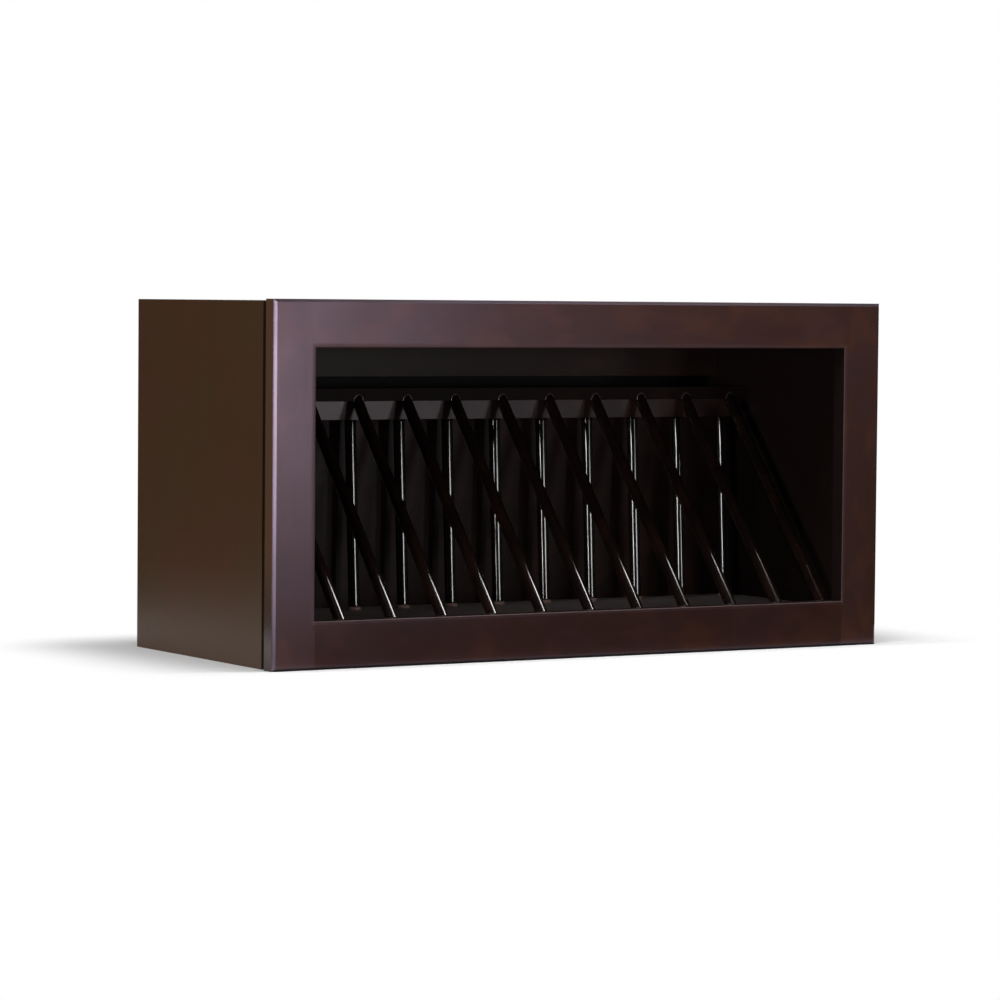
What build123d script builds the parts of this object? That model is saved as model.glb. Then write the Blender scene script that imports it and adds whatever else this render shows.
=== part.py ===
from build123d import *
import os
from math import atan2, cos, degrees, radians, sin

# Wall cabinet with an open front and a fixed dish rack of round dowels.
# Millimetres. X runs along the width, the wall is at +Y, Z is up.
# The origin is on the floor plane, at the middle of the cabinet's width and depth.

# Face frame
frame_width = 762.0
frame_height = 381.0
frame_thickness = 19.0
stile_width = 48.5
frame_rail_width = 50.0
frame_arris = 2.2
opening_arris = 1.2

# Case
side_depth = 305.0
panel_thickness = 12.7
side_setback = 3.0
top_setback = 2.0
floor_height = 25.0
dado_depth = 6.0
rear_sheet_thickness = 6.0
side_front_chamfer = 1.0
hanging_rail_width = 72.5
hanging_rail_thickness = 19.0

# Rack boards
base_board_thickness = 14.0
rack_rear_space = 21.0
rack_panel_thickness = 6.0
top_rail_width = 38.5
top_rail_thickness = 14.0
top_rail_height = 269.0
apron_width = 21.0
apron_thickness = 16.0
board_arris = 1.0

# Dowels
divider_count = 12
dowel_diameter = 12.7
dowel_end_margin = 26.5
dowel_seat = 9.0
dowel_end_gap = 0.5
dowel_hole_clearance = 0.05
slanted_foot_setback = 21.5
slanted_entry_inset = 2.2
apron_dowel_gap = 0.5
upright_foot_advance = 12.5

# Pocket screws
pocket_angle = 15.0
pocket_diameter = 9.5
screw_head_diameter = 8.2
screw_head_height = 2.2
screw_shank_diameter = 3.8
screw_drive_width = 2.6
screw_length_in_rail = 15.0
frame_screw_hold = 17.0
side_screw_hold = 9.5

# Rack screws
rack_screw_diameter = 4.0
rack_screw_head_diameter = 8.0
rack_screw_head_height = 2.4
rack_screw_hold = 14.0

# Staples of the rear sheet
staple_crown = 6.4
staple_wire = 1.2
staple_leg = 16.0
staples_across = 9
staples_up_side = 4

# How near an edge lies to the place where it is looked for
place_tolerance = 0.01

# Places of the case, from the sizes above
total_depth = frame_thickness + side_depth
front_y = -total_depth / 2
rear_y = total_depth / 2
case_front_y = front_y + frame_thickness
sheet_front_y = rear_y - rear_sheet_thickness
side_outer_x = frame_width / 2 - side_setback
side_inner_x = side_outer_x - panel_thickness
dado_floor_x = side_inner_x + dado_depth
opening_x = frame_width / 2 - stile_width
case_height = frame_height - top_setback
ceiling_z = case_height - panel_thickness
underside_z = floor_height - panel_thickness
hanging_front_y = sheet_front_y - hanging_rail_thickness

# Places of the rack
base_top_z = floor_height + base_board_thickness
rack_rear_y = hanging_front_y - rack_rear_space
rack_panel_y = rack_rear_y - rack_panel_thickness
top_rail_y = rack_panel_y - top_rail_width
top_rail_top_z = top_rail_height + top_rail_thickness
apron_bottom_z = top_rail_height - apron_width

# Places of the dowels
dowel_radius = dowel_diameter / 2
first_divider_x = dowel_end_margin - side_inner_x
dowel_pitch = -2 * first_divider_x / (divider_count - 1)
slanted_foot_y = case_front_y + slanted_foot_setback
slanted_rise = top_rail_height - base_top_z
slanted_run = top_rail_y + slanted_entry_inset - slanted_foot_y
slanted_lean = atan2(slanted_run, slanted_rise)
apron_front_y = slanted_foot_y + slanted_run + dowel_radius / cos(slanted_lean) + apron_dowel_gap
upright_head_y = apron_front_y + apron_thickness / 2
upright_rise = apron_bottom_z - base_top_z
upright_lean = atan2(upright_foot_advance, upright_rise)


def block(x0, x1, y0, y1, z0, z1):
    """A box between two corners."""
    middle = Location(((x0 + x1) / 2, (y0 + y1) / 2, (z0 + z1) / 2))
    return middle * Box(x1 - x0, y1 - y0, z1 - z0)


def rod(start, direction, radius, length):
    """A round rod that starts at a point and runs along a direction."""
    foot = Plane(origin=start, z_dir=direction)
    return foot * Cylinder(radius, length, align=(Align.CENTER, Align.CENTER, Align.MIN))


def edges_along(solid, axis, *places):
    """The edges along an axis that lie at the given places, each an axis and a distance on it."""
    found = solid.edges().filter_by(axis)
    for across, distance in places:
        found = found.filter_by_position(across, distance - place_tolerance, distance + place_tolerance)
    return found


def without(piece, tools):
    for tool in tools:
        piece = piece - tool
    return piece


# The face frame is shaped in one outline, with its rounded arrises, and then parted into its members.


def frame_outline():
    half = frame_width / 2
    frame = block(-half, half, front_y, case_front_y, 0, frame_height)
    front_face = frame.faces().sort_by(Axis.Y)[0]
    frame = fillet(front_face.edges(), frame_arris)
    top_z = frame_height - frame_rail_width
    frame = frame - block(-opening_x, opening_x, front_y, case_front_y, frame_rail_width, top_z)
    rim = frame.faces().sort_by(Axis.Y)[0].inner_wires()[0]
    return fillet(rim.edges(), opening_arris)


def frame_members():
    """The places of the frame's four members: from and to along X, from and to along Z."""
    half = frame_width / 2
    upper_rail_z = frame_height - frame_rail_width
    return {
        "left_stile": (-half, -opening_x, 0, frame_height),
        "right_stile": (opening_x, half, 0, frame_height),
        "top_frame_rail": (-opening_x, opening_x, upper_rail_z, frame_height),
        "bottom_frame_rail": (-opening_x, opening_x, 0, frame_rail_width),
    }


# Two pocket screws hold each end of a rail. A screw enters the rail's back at a slant and leaves
# through the middle of the rail's end, into the stile or the side beside it.


def screw_places(x, y, rail_centres, rail_width):
    """Where the screws leave two rails, a quarter of the rail's width from its edges, and on which side."""
    places = []
    for side in (-1, 1):
        for centre in rail_centres:
            for z in (centre - rail_width / 4, centre + rail_width / 4):
                places.append((side * x, y, z, side))
    return places


def frame_screw_places():
    half_width = frame_rail_width / 2
    centres = (half_width, frame_height - half_width)
    return screw_places(opening_x, front_y + frame_thickness / 2, centres, frame_rail_width)


def hanging_screw_places():
    half_width = hanging_rail_width / 2
    centres = (floor_height + half_width, ceiling_z - half_width)
    y = hanging_front_y + hanging_rail_thickness / 2
    return screw_places(side_inner_x, y, centres, hanging_rail_width)


def pocket_direction(side):
    slant = radians(pocket_angle)
    return Vector(side * cos(slant), -sin(slant), 0)


def pocket_screw(x, y, z, side, hold):
    """The screw, with its head on the pocket's floor and its tip in the neighbouring piece."""
    along = pocket_direction(side)
    head = Vector(x, y, z) - along * screw_length_in_rail
    shank = rod(head, along, screw_shank_diameter / 2, screw_length_in_rail + hold)
    cap = rod(head, -along, screw_head_diameter / 2, screw_head_height)
    recess_plane = Plane(origin=head - along * screw_head_height, z_dir=along)
    recess = recess_plane * Box(screw_drive_width, screw_drive_width, screw_head_height)
    return shank + cap - recess


def pocket_cut(x, y, z, side, hold):
    """The wide pocket behind the head, long enough to leave the rail, and the hole round the shank."""
    along = pocket_direction(side)
    head = Vector(x, y, z) - along * screw_length_in_rail
    way_out = frame_thickness + hanging_rail_thickness
    wide = rod(head, -along, pocket_diameter / 2, way_out / sin(radians(pocket_angle)))
    narrow = rod(head, along, screw_shank_diameter / 2, screw_length_in_rail + hold)
    return wide + narrow


# Rack screws run forward through the back panel into the top rail, and down through the top rail
# into the apron.


def countersunk_screw(start, direction, length):
    """A flat-headed screw whose head lies flush at its start."""
    top = Plane(origin=start, z_dir=direction)
    wide = rack_screw_head_diameter / 2
    narrow = rack_screw_diameter / 2
    upward = (Align.CENTER, Align.CENTER, Align.MIN)
    head = top * Cone(wide, narrow, rack_screw_head_height, align=upward)
    return head + rod(start, direction, narrow, length)


def rack_screw_columns():
    """The gaps between dividers that hold screws, two beside the middle and two near the ends."""
    middle = divider_count // 2
    step = max(1, divider_count // 3)
    return sorted({middle - step, middle - 1, middle + 1, middle + step})


def rack_screws():
    into_rail = rack_panel_thickness + rack_screw_hold
    into_apron = top_rail_thickness + rack_screw_hold
    middle_z = top_rail_height + top_rail_thickness / 2
    screws = []
    for column in rack_screw_columns():
        x = gap_x(column)
        screws.append(countersunk_screw((x, rack_rear_y, middle_z), (0, -1, 0), into_rail))
        screws.append(countersunk_screw((x, upright_head_y, top_rail_top_z), (0, 0, -1), into_apron))
    return screws


# A staple has its crown sunk level with the sheet and two legs through it.


def staple(x, z, across):
    """A staple whose crown runs across the width, or up the height."""
    half = staple_crown / 2
    wire = staple_wire / 2
    wide = half if across else wire
    tall = wire if across else half
    crown = block(x - wide, x + wide, rear_y - staple_wire, rear_y, z - tall, z + tall)
    legs = []
    for end in (-1, 1):
        leg_x = x + end * (half - wire) if across else x
        leg_z = z if across else z + end * (half - wire)
        legs.append(block(leg_x - wire, leg_x + wire, rear_y - staple_leg, rear_y, leg_z - wire, leg_z + wire))
    return crown + legs[0] + legs[1]


def staples():
    """Rows into the top and bottom panels, and columns into the sides between the hanging rails."""
    made = []
    span = 2 * side_inner_x / (staples_across + 1)
    for row_z in (underside_z + panel_thickness / 2, ceiling_z + panel_thickness / 2):
        for number in range(1, staples_across + 1):
            made.append(staple(number * span - side_inner_x, row_z, True))
    lowest_z = floor_height + hanging_rail_width
    rise = (ceiling_z - hanging_rail_width - lowest_z) / (staples_up_side + 1)
    for side in (-1, 1):
        column_x = side * (side_inner_x + dado_floor_x) / 2
        for number in range(1, staples_up_side + 1):
            made.append(staple(column_x, lowest_z + number * rise, False))
    return made


# Case panels


def side_panel(side):
    """A side with dadoes for the two panels, a groove for the rack panel and a rabbet for the rear sheet."""
    inner = side * side_inner_x
    outer = side * side_outer_x
    low, high = sorted((inner, outer))
    panel = block(low, high, case_front_y, rear_y, 0, case_height)
    front_outer = edges_along(panel, Axis.Z, (Axis.X, outer), (Axis.Y, case_front_y))
    panel = chamfer(front_outer, side_front_chamfer)
    low, high = sorted((inner, side * dado_floor_x))
    cuts = [
        block(low, high, case_front_y, rear_y, underside_z, floor_height),
        block(low, high, case_front_y, rear_y, ceiling_z, case_height),
        block(low, high, sheet_front_y, rear_y, 0, case_height),
        block(low, high, rack_panel_y, rack_rear_y, floor_height, top_rail_top_z),
    ]
    return without(panel, cuts)


def case_panel(z0, z1):
    """The top or the bottom, let into the dadoes of both sides."""
    return block(-dado_floor_x, dado_floor_x, case_front_y, sheet_front_y, z0, z1)


def rear_sheet():
    return block(-dado_floor_x, dado_floor_x, sheet_front_y, rear_y, 0, case_height)


def hanging_rail(z0):
    z1 = z0 + hanging_rail_width
    rail = block(-side_inner_x, side_inner_x, hanging_front_y, sheet_front_y, z0, z1)
    places = [place for place in hanging_screw_places() if z0 < place[2] < z1]
    return without(rail, [pocket_cut(*place, side_screw_hold) for place in places])


# Rack


def divider_x(number):
    """The middle of a divider, counted from 0 at the left."""
    return first_divider_x + number * dowel_pitch


def gap_x(number):
    """The middle of the space before a divider."""
    return first_divider_x + (number - 0.5) * dowel_pitch


def leaning_rod(x, y, lean, rise, radius, seat):
    """A rod that leans back as it climbs from the base board, as deep at both ends as its seat."""
    up = Vector(0, sin(lean), cos(lean))
    foot = Vector(x, y, base_top_z) - up * seat
    return rod(foot, up, radius, rise / cos(lean) + 2 * seat)


def upright_rod(x, radius, seat):
    """A rod from the base board into the apron, nearly upright."""
    foot_y = upright_head_y - upright_foot_advance
    return leaning_rod(x, foot_y, upright_lean, upright_rise, radius, seat)


def slanted_rod(x, radius, seat):
    """A rod from the front of the base board into the front edge of the top rail."""
    return leaning_rod(x, slanted_foot_y, slanted_lean, slanted_rise, radius, seat)


def dowel_holes(make_rod):
    """The holes for one kind of dowel, a little wider and deeper than the dowels."""
    radius = dowel_radius + dowel_hole_clearance
    depth = dowel_seat + dowel_end_gap
    return [make_rod(divider_x(number), radius, depth) for number in range(divider_count)]


def base_board():
    board = block(-side_inner_x, side_inner_x, case_front_y, rack_panel_y, floor_height, base_top_z)
    return without(board, dowel_holes(upright_rod) + dowel_holes(slanted_rod))


def rack_panel():
    return block(-dado_floor_x, dado_floor_x, rack_panel_y, rack_rear_y, floor_height, top_rail_top_z)


def top_rail():
    rail = block(-side_inner_x, side_inner_x, top_rail_y, rack_panel_y, top_rail_height, top_rail_top_z)
    front_edges = edges_along(rail, Axis.X, (Axis.Y, top_rail_y))
    return without(fillet(front_edges, board_arris), dowel_holes(slanted_rod))


def apron():
    rear = apron_front_y + apron_thickness
    strip = block(-side_inner_x, side_inner_x, apron_front_y, rear, apron_bottom_z, top_rail_height)
    lower_front = edges_along(strip, Axis.X, (Axis.Y, apron_front_y), (Axis.Z, apron_bottom_z))
    return without(fillet(lower_front, board_arris), dowel_holes(upright_rod))


def face_frame_parts(places):
    frame = frame_outline()
    parts = {}
    for name, (x0, x1, z0, z1) in frame_members().items():
        near = [place for place in places if x0 <= place[0] <= x1 and z0 < place[2] < z1]
        member = frame & block(x0, x1, front_y, case_front_y, z0, z1)
        parts[name] = without(member, [pocket_cut(*place, frame_screw_hold) for place in near])
    return parts


def case_parts(places, tacks):
    parts = {}
    for name, side in (("left_side_panel", -1), ("right_side_panel", 1)):
        cuts = [pocket_cut(*place, side_screw_hold) for place in places if place[3] == side]
        side_tacks = [tack for tack in tacks if tack.center().X * side > side_inner_x]
        parts[name] = without(side_panel(side), cuts + side_tacks)
    parts["top_panel"] = without(case_panel(ceiling_z, case_height), tacks)
    parts["bottom_panel"] = without(case_panel(underside_z, floor_height), tacks)
    parts["rear_sheet"] = without(rear_sheet(), tacks)
    parts["upper_hanging_rail"] = hanging_rail(ceiling_z - hanging_rail_width)
    parts["lower_hanging_rail"] = hanging_rail(floor_height)
    return parts


def rack_parts(screws):
    parts = {
        "rack_base_board": base_board(),
        "rack_back_panel": without(rack_panel(), screws),
        "rack_top_rail": without(top_rail(), screws),
        "rack_apron": without(apron(), screws),
    }
    for number in range(divider_count):
        x = divider_x(number)
        parts[f"upright_dowel_{number + 1:02d}"] = upright_rod(x, dowel_radius, dowel_seat)
        parts[f"slanted_dowel_{number + 1:02d}"] = slanted_rod(x, dowel_radius, dowel_seat)
    return parts


def build_parts():
    frame_places = frame_screw_places()
    hanging_places = hanging_screw_places()
    tacks = staples()
    screws = rack_screws()
    parts = face_frame_parts(frame_places) | case_parts(hanging_places, tacks) | rack_parts(screws)
    frame_screws = [pocket_screw(*place, frame_screw_hold) for place in frame_places]
    rail_screws = [pocket_screw(*place, side_screw_hold) for place in hanging_places]
    parts["frame_pocket_screws"] = Compound(children=frame_screws)
    parts["hanging_rail_screws"] = Compound(children=rail_screws)
    parts["rack_screws"] = Compound(children=screws)
    parts["rear_sheet_staples"] = Compound(children=tacks)
    return parts


os.makedirs("parts", exist_ok=True)
for name, piece in build_parts().items():
    export_step(piece, f"parts/{name}.step")

print("divider pitch", round(dowel_pitch, 2))
print("lean of the dowels", round(degrees(upright_lean), 2), round(degrees(slanted_lean), 2))
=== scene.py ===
# %% [markdown]
# # A wall dish rack cabinet, dressed for its portrait
# The real object is a wall cabinet with an open front, 762 mm wide and 381 mm high. Behind the face
# frame two rows of lacquered dowels hold plates on edge. The whole of it is finished in one dark
# espresso lacquer, so almost all that the eye reads is gloss: a soft sheen on the frame, and hard
# bright lines on the dowels.
#
# The measured model is loaded first and stays where it is. Every board and dowel made below takes
# its place from the node that it stands for.

# %% Load the measured model
import math

import bmesh
import bpy
from mathutils import Matrix, Vector


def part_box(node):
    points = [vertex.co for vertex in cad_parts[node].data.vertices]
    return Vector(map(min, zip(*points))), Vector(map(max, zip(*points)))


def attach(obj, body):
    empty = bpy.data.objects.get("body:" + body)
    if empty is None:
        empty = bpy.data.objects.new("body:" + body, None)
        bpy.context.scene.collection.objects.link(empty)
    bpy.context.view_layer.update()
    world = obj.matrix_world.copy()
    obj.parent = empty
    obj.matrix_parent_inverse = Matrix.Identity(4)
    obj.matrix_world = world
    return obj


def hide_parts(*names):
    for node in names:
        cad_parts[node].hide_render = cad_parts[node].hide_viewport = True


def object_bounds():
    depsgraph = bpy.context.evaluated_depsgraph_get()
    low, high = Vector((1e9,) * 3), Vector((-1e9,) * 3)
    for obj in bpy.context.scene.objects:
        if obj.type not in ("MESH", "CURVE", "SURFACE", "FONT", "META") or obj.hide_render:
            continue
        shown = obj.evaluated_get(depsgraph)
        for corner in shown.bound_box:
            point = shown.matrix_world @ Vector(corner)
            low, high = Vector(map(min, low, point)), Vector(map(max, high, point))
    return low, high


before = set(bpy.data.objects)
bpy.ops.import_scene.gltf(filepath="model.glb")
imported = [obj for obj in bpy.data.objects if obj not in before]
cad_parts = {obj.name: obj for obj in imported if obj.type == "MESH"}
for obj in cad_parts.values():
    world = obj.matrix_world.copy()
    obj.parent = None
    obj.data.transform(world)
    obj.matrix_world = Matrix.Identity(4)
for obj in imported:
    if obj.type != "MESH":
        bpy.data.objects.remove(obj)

cad_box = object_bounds()
print("nodes", len(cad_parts), "box", cad_box)

# %% [markdown]
# ## The camera
# The photograph was taken from the front left, almost level with the cabinet, through a long lens.
# Its straight edges give the place and the turn of the camera. A camera could be pointed with a
# constraint, but its own three axes, written as a matrix, also hold the small tilt of the picture.

# %% Set up the camera
YAW = math.radians(30.98)
PITCH = math.radians(-2.97)
ROLL = math.radians(0.52)
PICTURE_FOCUS = 3.936    # focal length in widths of the picture
SENSOR = 36.0            # mm
CAMERA_PLACE = Vector((-2.244, -3.713, 0.386))


def camera_axes():
    """The camera's right, up and backward directions."""
    ahead = Vector((math.sin(YAW) * math.cos(PITCH), math.cos(YAW) * math.cos(PITCH), math.sin(PITCH)))
    level = Vector((math.cos(YAW), -math.sin(YAW), 0))
    above = level.cross(ahead)
    right = level * math.cos(ROLL) + above * math.sin(ROLL)
    return right, above * math.cos(ROLL) - level * math.sin(ROLL), -ahead


lens = bpy.data.cameras.new("camera")
lens.sensor_width = SENSOR
lens.lens = PICTURE_FOCUS * SENSOR
camera = bpy.data.objects.new("camera", lens)
camera.matrix_world = Matrix.Translation(CAMERA_PLACE) @ Matrix(camera_axes()).transposed().to_4x4()
bpy.context.scene.collection.objects.link(camera)
bpy.context.scene.camera = camera
print("lens", round(lens.lens, 1), "mm")

# %% [markdown]
# ## Writing shaders as sums
# A finish is easier to read as a sum than as a list of nodes and links. One class holds a socket
# and knows how to add, subtract, multiply, divide and raise it, and one method adds any other node.

# %% A socket that can be used in sums
MIX_SHARE, MIX_FIRST, MIX_SECOND = 0, 6, 7     # the sockets of a Mix node that blends colours
MIX_RESULT = 2


class Wire:
    """An output socket of a finish's nodes, or the finish itself before it has any."""

    def __init__(self, tree, socket=None):
        self.tree = tree
        self.socket = socket

    def node(self, kind, settings=None, values=None, out=0):
        """Adds a node: its settings first, then the values or the wires of its sockets."""
        made = self.tree.nodes.new(kind)
        for key, value in (settings or {}).items():
            setattr(made, key, value)
        for key, value in (values or {}).items():
            if isinstance(value, Wire):
                self.tree.links.new(value.socket, made.inputs[key])
            else:
                made.inputs[key].default_value = value
        return Wire(self.tree, made.outputs[out] if made.outputs else None)

    def sum(self, operation, first, second):
        """Any sum of two numbers, by the name that Blender gives it."""
        return self.node("ShaderNodeMath", {"operation": operation}, {0: first, 1: second})

    def __add__(self, other):
        return self.sum("ADD", self, other)

    def __radd__(self, other):
        return self.sum("ADD", other, self)

    def __sub__(self, other):
        return self.sum("SUBTRACT", self, other)

    def __rsub__(self, other):
        return self.sum("SUBTRACT", other, self)

    def __mul__(self, other):
        return self.sum("MULTIPLY", self, other)

    def __rmul__(self, other):
        return self.sum("MULTIPLY", other, self)

    def __truediv__(self, other):
        return self.sum("DIVIDE", self, other)

    def __pow__(self, other):
        return self.sum("POWER", self, other)

    def size(self):
        """The number without its sign."""
        return self.node("ShaderNodeMath", {"operation": "ABSOLUTE"}, {0: self})

    def step(self, low, high):
        """A soft step from 0 to 1 between two values, or from 1 to 0 where low is the larger."""
        first, last = (0.0, 1.0) if low < high else (1.0, 0.0)
        low, high = sorted((low, high))
        return self.node("ShaderNodeMapRange", {"interpolation_type": "SMOOTHSTEP"}, {
            "Value": self, "From Min": low, "From Max": high, "To Min": first, "To Max": last})

    def blend(self, first, second):
        """A colour between two others, by this number."""
        colours = [one if isinstance(one, Wire) else (*one, 1) for one in (first, second)]
        sockets = {MIX_SHARE: self, MIX_FIRST: colours[0], MIX_SECOND: colours[1]}
        return self.node("ShaderNodeMix", {"data_type": "RGBA"}, sockets, out=MIX_RESULT)

    def parts(self):
        """The X, Y and Z of a place or a direction."""
        split = self.node("ShaderNodeSeparateXYZ", None, {0: self}).socket.node
        return [Wire(self.tree, split.outputs[axis]) for axis in range(3)]


# %% Starting a finish
WHITE = (1.0, 1.0, 1.0)
OBJECT_PLACE = 3         # the output of Texture Coordinate that gives a place on the cabinet


def new_finish(name):
    """An empty material, as the start of its wires."""
    material = bpy.data.materials.new(name)
    material.use_nodes = True
    material.node_tree.nodes.clear()
    return material, Wire(material.node_tree)


def place_of(start):
    """The place that is being shaded, in the cabinet's own frame."""
    return start.node("ShaderNodeTexCoord", out=OBJECT_PLACE)


def white_glow(start):
    """Light that is white whatever shines on it."""
    return start.node("ShaderNodeEmission", None, {"Color": (*WHITE, 1), "Strength": 1.0})


def seen_directly(start):
    """1 where the camera looks at a thing, also by way of metal or glass, and 0 for plain light."""
    rays = start.node("ShaderNodeLightPath").socket.node
    direct = Wire(start.tree, rays.outputs["Is Camera Ray"])
    for kind in ("Is Glossy Ray", "Is Transmission Ray"):
        direct = start.sum("MAXIMUM", direct, Wire(start.tree, rays.outputs[kind]))
    return direct


# %% [markdown]
# ## Floor, backdrop and light
# A cabinet like this is photographed on a white ground in a room that is dark but for its lamps:
# dark lacquer shows whatever stands round it, so the fewer bright things the better. One large
# white floor would be simpler, but the frame would mirror it and turn grey. So a small pale floor
# holds the shadow close to the cabinet and turns into plain white further out, and a white backdrop
# stands behind. The world is white only where the camera looks straight at it.

# %% Values of the studio
FLOOR_COLOUR = (0.82, 0.82, 0.82, 1)
FLOOR_FRONT = -0.202     # only 4 cm in front of the frame, whose lacquer would mirror more of it
FLOOR_REAR = 0.52
FLOOR_HALF_WIDTH = 0.58
SHADOW_NEAR = 0.01       # where the floor begins to turn white, from the cabinet's sides
SHADOW_FAR = 0.17        # where it has turned white
FRONT_HASTE = 4.5        # how much sooner it does so in front
WORLD_FILL = (0.20, 0.20, 0.205)
MIRROR_FILL = (0.015, 0.015, 0.015)

# %% World


def build_world():
    """White to the camera, dark in reflections, and a weak even light for all else."""
    world = bpy.data.worlds.new("studio")
    bpy.context.scene.world = world
    world.use_nodes = True
    world.node_tree.nodes.clear()
    start = Wire(world.node_tree)
    rays = start.node("ShaderNodeLightPath").socket.node
    seen = Wire(start.tree, rays.outputs["Is Camera Ray"])
    mirrored = Wire(start.tree, rays.outputs["Is Glossy Ray"])
    colour = seen.blend(mirrored.blend(WORLD_FILL, MIRROR_FILL), WHITE)
    light = start.node("ShaderNodeBackground", None, {"Color": colour, "Strength": 1.0})
    start.node("ShaderNodeOutputWorld", None, {"Surface": light})
    print("world: fill", WORLD_FILL, "and", MIRROR_FILL, "in reflections")


build_world()

# %% Floor


def floor_finish():
    """Pale and matt round the cabinet, and white light further out."""
    material, start = new_finish("floor_white")
    x, y = place_of(start).parts()[:2]
    half_width, half_depth = [(high - low) / 2 for low, high in zip(*cad_box)][:2]
    out_x = start.sum("MAXIMUM", x.size() - half_width, 0.0)
    out_y = start.sum("MAXIMUM", y - half_depth, (y + half_depth) * -FRONT_HASTE)
    out_y = start.sum("MAXIMUM", out_y, 0.0)
    away = (out_x * out_x + out_y * out_y) ** 0.5
    paint = start.node("ShaderNodeBsdfDiffuse", None, {"Color": FLOOR_COLOUR})
    share = away.step(SHADOW_NEAR, SHADOW_FAR) * seen_directly(start)
    mixed = start.node("ShaderNodeMixShader", None, {0: share, 1: paint, 2: white_glow(start)})
    start.node("ShaderNodeOutputMaterial", None, {"Surface": mixed})
    return material


def add_sheet(name, middle, turn, width, length, finish):
    """Adds a flat sheet that belongs to the studio."""
    bpy.ops.object.select_all(action="DESELECT")
    bpy.ops.mesh.primitive_plane_add(size=1, location=middle, rotation=turn)
    sheet = bpy.context.active_object
    sheet.name = name
    sheet.scale = (width, length, 1)
    bpy.ops.object.transform_apply(location=True, rotation=True, scale=True)
    sheet.data.materials.append(finish)
    sheet.visible_shadow = False
    print(name, round(width, 3), "x", round(length, 3), "m")


add_sheet("floor", (0, (FLOOR_FRONT + FLOOR_REAR) / 2, 0), (0, 0, 0),
          2 * FLOOR_HALF_WIDTH, FLOOR_REAR - FLOOR_FRONT, floor_finish())

# %% Backdrop
BACKDROP_AWAY = 2.6
BACKDROP_WIDTH = 2.6
BACKDROP_HEIGHT = 3.0


def backdrop_finish():
    """White to the camera and in reflections, and no light on the cabinet."""
    material, start = new_finish("backdrop_white")
    clear = start.node("ShaderNodeBsdfTransparent")
    mixed = start.node("ShaderNodeMixShader", None, {
        0: seen_directly(start), 1: clear, 2: white_glow(start)})
    start.node("ShaderNodeOutputMaterial", None, {"Surface": mixed})
    return material


ahead = -camera_axes()[2]
add_sheet("backdrop", (ahead.x * BACKDROP_AWAY, ahead.y * BACKDROP_AWAY, BACKDROP_HEIGHT / 2),
          (math.pi / 2, 0, -YAW), BACKDROP_WIDTH, BACKDROP_HEIGHT, backdrop_finish())

# %% [markdown]
# ## Lamps
# The lacquer tells where the lamps stood. Each upright dowel carries a hard line a little right of
# its middle, so two soft boxes stand at the front right. The dowels in the right half carry a
# second line further left, and the left stile hides that lamp from the others: a box stands at the
# left, and the eased edge of the frame mirrors it too. All of these are low, because the sheen dies
# away towards the bottom of the frame. A flat one hangs above the front right, where only the feet
# of the slanted dowels see it past the top of the frame, and a small one beside it serves the two
# dowels that the right stile would shade. Lamps could be placed by hand until it looks right, but
# places given as bearing and height can be read straight off the reflections.
#
# Two more lamps only fill: one above the front and one high on the left. They are hidden from
# reflections, as light that comes off the walls of a room would be too soft to show as a shape.

# %% Lamps
MIDDLE_HEIGHT = 0.2      # about the middle of the cabinet, where the hanging lamps point
HANGING_HEIGHT = 1.25
BOX_AWAY = 4.0           # how far off the standing lamps are
BOX_LOW, BOX_HIGH = -0.03, 0.55


def soft_box(name, place, aim, width, height, brightness, mirrored=True):
    """A rectangular lamp that looks so bright, and shines from a place towards a point."""
    light = bpy.data.lights.new(name, "AREA")
    light.shape = "RECTANGLE"
    light.size = width
    light.size_y = height
    light.energy = brightness * width * height * math.pi
    lamp = bpy.data.objects.new(name, light)
    lamp.location = place
    lamp.rotation_euler = (Vector(aim) - Vector(place)).to_track_quat("-Z", "Y").to_euler()
    lamp.visible_camera = False
    lamp.visible_glossy = mirrored
    bpy.context.scene.collection.objects.link(lamp)
    print(name, round(light.energy, 1), "W")


def standing_box(name, bearing, spread, brightness):
    """An upright lamp at a bearing, in degrees to the right of straight in front."""
    turn = math.radians(bearing)
    middle = (BOX_LOW + BOX_HIGH) / 2
    place = (BOX_AWAY * math.sin(turn), -BOX_AWAY * math.cos(turn), middle)
    width = 2 * BOX_AWAY * math.tan(math.radians(spread / 2))
    soft_box(name, place, (0, 0, middle), width, BOX_HIGH - BOX_LOW, brightness)


standing_box("front_box", bearing=9.0, spread=6.0, brightness=19.0)
standing_box("right_box", bearing=21.0, spread=6.0, brightness=9.0)
standing_box("left_box", bearing=-60.0, spread=14.0, brightness=28.0)
soft_box("top_box", place=(0.40, -0.383, HANGING_HEIGHT), aim=(0.40, -0.20, MIDDLE_HEIGHT),
         width=0.80, height=0.13, brightness=17.0)
soft_box("corner_box", place=(0.57, -0.48, HANGING_HEIGHT), aim=(0.57, -0.30, MIDDLE_HEIGHT),
         width=0.13, height=0.06, brightness=26.0)
soft_box("front_fill", place=(0.0, -0.42, 0.95), aim=(0.0, -0.30, MIDDLE_HEIGHT),
         width=1.10, height=0.30, brightness=7.0, mirrored=False)
soft_box("side_fill", place=(-2.4, 0.45, 1.9), aim=(-0.38, 0.0, MIDDLE_HEIGHT),
         width=1.4, height=1.4, brightness=6.0, mirrored=False)

# %% [markdown]
# ## Finishes
# The wood is stained and lacquered dark. What is left of the grain is a faint streak along each
# board, and the stain has gone soft and patchy: warm brown here, a little violet there. The
# lacquer's surface isn't flat either: it has the fine waves of a sprayed coat. A flat brown with a
# gloss would miss all of this, so each finish is built from the same recipe with its own colours,
# direction of grain and gloss.

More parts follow.
